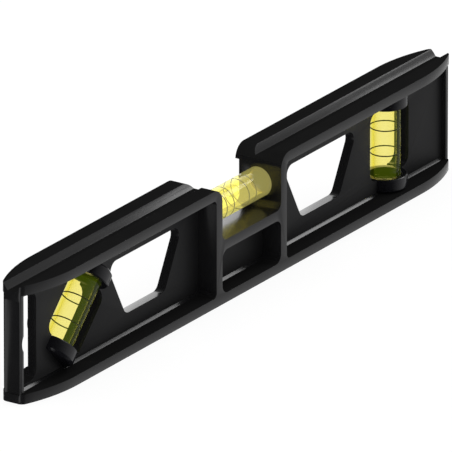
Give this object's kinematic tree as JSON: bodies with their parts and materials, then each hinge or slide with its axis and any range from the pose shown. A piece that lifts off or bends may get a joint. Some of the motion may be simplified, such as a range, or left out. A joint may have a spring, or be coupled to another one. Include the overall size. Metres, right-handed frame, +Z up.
{
  "type": "pocket spirit level",
  "caption": "Slim moulded spirit level with a notch for its level vial, a plumb vial and a 45 degree vial in capped windows, hand cut-outs, a hanging slot and a pipe groove.",
  "frame": {"origin": "centre of the bottom measuring face", "axes": "+X along the body towards the plumb vial's end, +Y to the back, +Z up"},
  "size_m": [0.229, 0.0162, 0.0369],
  "materials": {
    "body_plastic": "satin moulded, fine even grain",
    "cap_plastic": "satin moulded",
    "vial_acrylic": "clear polished acrylic",
    "plug_acrylic": "clear acrylic, seen through the liquid's colour",
    "liquid": "clear yellow-green liquid",
    "ring_ink": "dark printed band"
  },
  "bodies": {
    "root": {"body": "body_plastic", "level_vial_tube": "vial_acrylic", "level_vial_plug": "plug_acrylic", "level_vial_liquid": "liquid", "level_vial_ring_1": "ring_ink", "level_vial_ring_2": "ring_ink", "level_vial_ring_3": "ring_ink", "level_vial_ring_4": "ring_ink", "plumb_vial_tube": "vial_acrylic", "plumb_vial_plug": "plug_acrylic", "plumb_vial_liquid": "liquid", "plumb_vial_ring_1": "ring_ink", "plumb_vial_ring_2": "ring_ink", "plumb_cap_top": "cap_plastic", "plumb_cap_bottom": "cap_plastic", "angle_vial_tube": "vial_acrylic", "angle_vial_plug": "plug_acrylic", "angle_vial_liquid": "liquid", "angle_vial_ring_1": "ring_ink", "angle_vial_ring_2": "ring_ink", "angle_cap_upper": "cap_plastic", "angle_cap_lower": "cap_plastic"}
  },
  "joints": []
}
